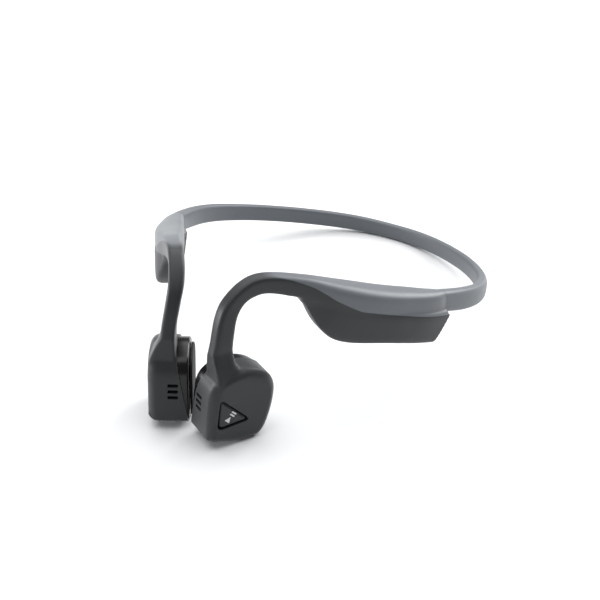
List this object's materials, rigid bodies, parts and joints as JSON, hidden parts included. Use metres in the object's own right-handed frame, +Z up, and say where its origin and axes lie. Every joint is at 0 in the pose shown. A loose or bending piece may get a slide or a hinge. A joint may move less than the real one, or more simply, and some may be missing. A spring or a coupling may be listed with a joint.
{
  "type": "bone conduction headphones",
  "caption": "Wrap-round bone conduction headphones: sprung neckband, ear hooks, flat rear boxes and glossy front pods that rest on the cheekbones.",
  "frame": {"origin": "centre of the bounding box at table level", "axes": "+Y backwards from the pods to the back of the neckband, +Z up, +X towards the wearer's left"},
  "size_m": [0.097, 0.1356, 0.0438],
  "materials": {
    "satin_rubber": "satin, slate grey",
    "titanium": "drawn wire",
    "copper": "enamelled copper",
    "matte_shell": "fine matte, charcoal",
    "steel": "satin",
    "foil": "satin foil",
    "gloss_black": "gloss, black",
    "soft_black": "matte, black",
    "board": "green solder mask"
  },
  "bodies": {
    "neckband": {"neckband_sleeve": "satin_rubber", "frame_wire_rear": "titanium", "band_lead_rear": "copper"},
    "arm_left": {"ear_hook_left": "satin_rubber", "side_sleeve_left": "satin_rubber", "frame_wire_left": "titanium", "hook_lead_left": "copper", "band_lead_left": "copper", "pod_shell_left": "matte_shell", "vent_mesh_left": "steel", "microphone_left": "foil", "capsule_left": "gloss_black", "top_plate_left": "steel", "magnet_left": "steel", "yoke_cup_left": "steel", "button_dome": "steel", "button_board": "board", "battery_box_shell": "matte_shell", "battery_box_cover": "matte_shell", "battery_cell": "foil", "battery_board": "board", "battery_foam": "soft_black"},
    "arm_right": {"ear_hook_right": "satin_rubber", "side_sleeve_right": "satin_rubber", "frame_wire_right": "titanium", "hook_lead_right": "copper", "band_lead_right": "copper", "pod_shell_right": "matte_shell", "vent_mesh_right": "steel", "microphone_right": "foil", "capsule_right": "gloss_black", "top_plate_right": "steel", "magnet_right": "steel", "yoke_cup_right": "steel", "control_box_shell": "matte_shell", "control_box_cover": "matte_shell", "volume_up_switch": "steel", "volume_down_switch": "steel", "lamp_lens": "foil", "main_board": "board", "radio_shield": "foil", "charging_socket": "steel"},
    "multifunction_button": {"multifunction_button": "matte_shell"},
    "volume_up_button": {"volume_up_button": "gloss_black"},
    "volume_down_button": {"volume_down_button": "gloss_black"},
    "charging_port_cover": {"charging_port_cover": "soft_black"},
    "transducer_left": {"contact_pad_left": "soft_black", "spring_plate_left": "steel", "coil_former_left": "soft_black", "voice_coil_left": "copper"},
    "transducer_right": {"contact_pad_right": "soft_black", "spring_plate_right": "steel", "coil_former_right": "soft_black", "voice_coil_right": "copper"}
  },
  "joints": [
    {"name": "arm_left_flex", "type": "hinge", "parent": "neckband", "child": "arm_left", "pos_m": [0.03414, 0.04788, 0.0075], "axis": [0, 0, 1], "range_deg": [0, 32], "stiffness_Nm_per_rad": 0.2},
    {"name": "arm_right_flex", "type": "hinge", "parent": "neckband", "child": "arm_right", "pos_m": [-0.03414, 0.04788, 0.0075], "axis": [0, 0, -1], "range_deg": [0, 32], "stiffness_Nm_per_rad": 0.2},
    {"name": "multifunction_button_press", "type": "slide", "parent": "arm_left", "child": "multifunction_button", "axis": [-0.8662, 0.4996, 0], "range_m": [0, 0.0004], "stiffness_N_per_m": 3000},
    {"name": "volume_up_press", "type": "slide", "parent": "arm_right", "child": "volume_up_button", "axis": [-0.1591, 0.2286, 0.9604], "range_m": [0, 0.0003], "stiffness_N_per_m": 3000},
    {"name": "volume_down_press", "type": "slide", "parent": "arm_right", "child": "volume_down_button", "axis": [-0.1591, 0.2286, 0.9604], "range_m": [0, 0.0003], "stiffness_N_per_m": 3000},
    {"name": "charging_port_cover_swing", "type": "hinge", "parent": "arm_right", "child": "charging_port_cover", "pos_m": [-0.03401, -0.02219, 0.01742], "axis": [-0.8209, -0.5711, 0], "range_deg": [0, 90]},
    {"name": "transducer_left_travel", "type": "slide", "parent": "arm_left", "child": "transducer_left", "axis": [-0.8661, 0.4995, 0.02], "range_m": [-0.0002, 0.0002], "stiffness_N_per_m": 3000},
    {"name": "transducer_right_travel", "type": "slide", "parent": "arm_right", "child": "transducer_right", "axis": [0.8661, 0.4995, 0.02], "range_m": [-0.0002, 0.0002], "stiffness_N_per_m": 3000}
  ]
}
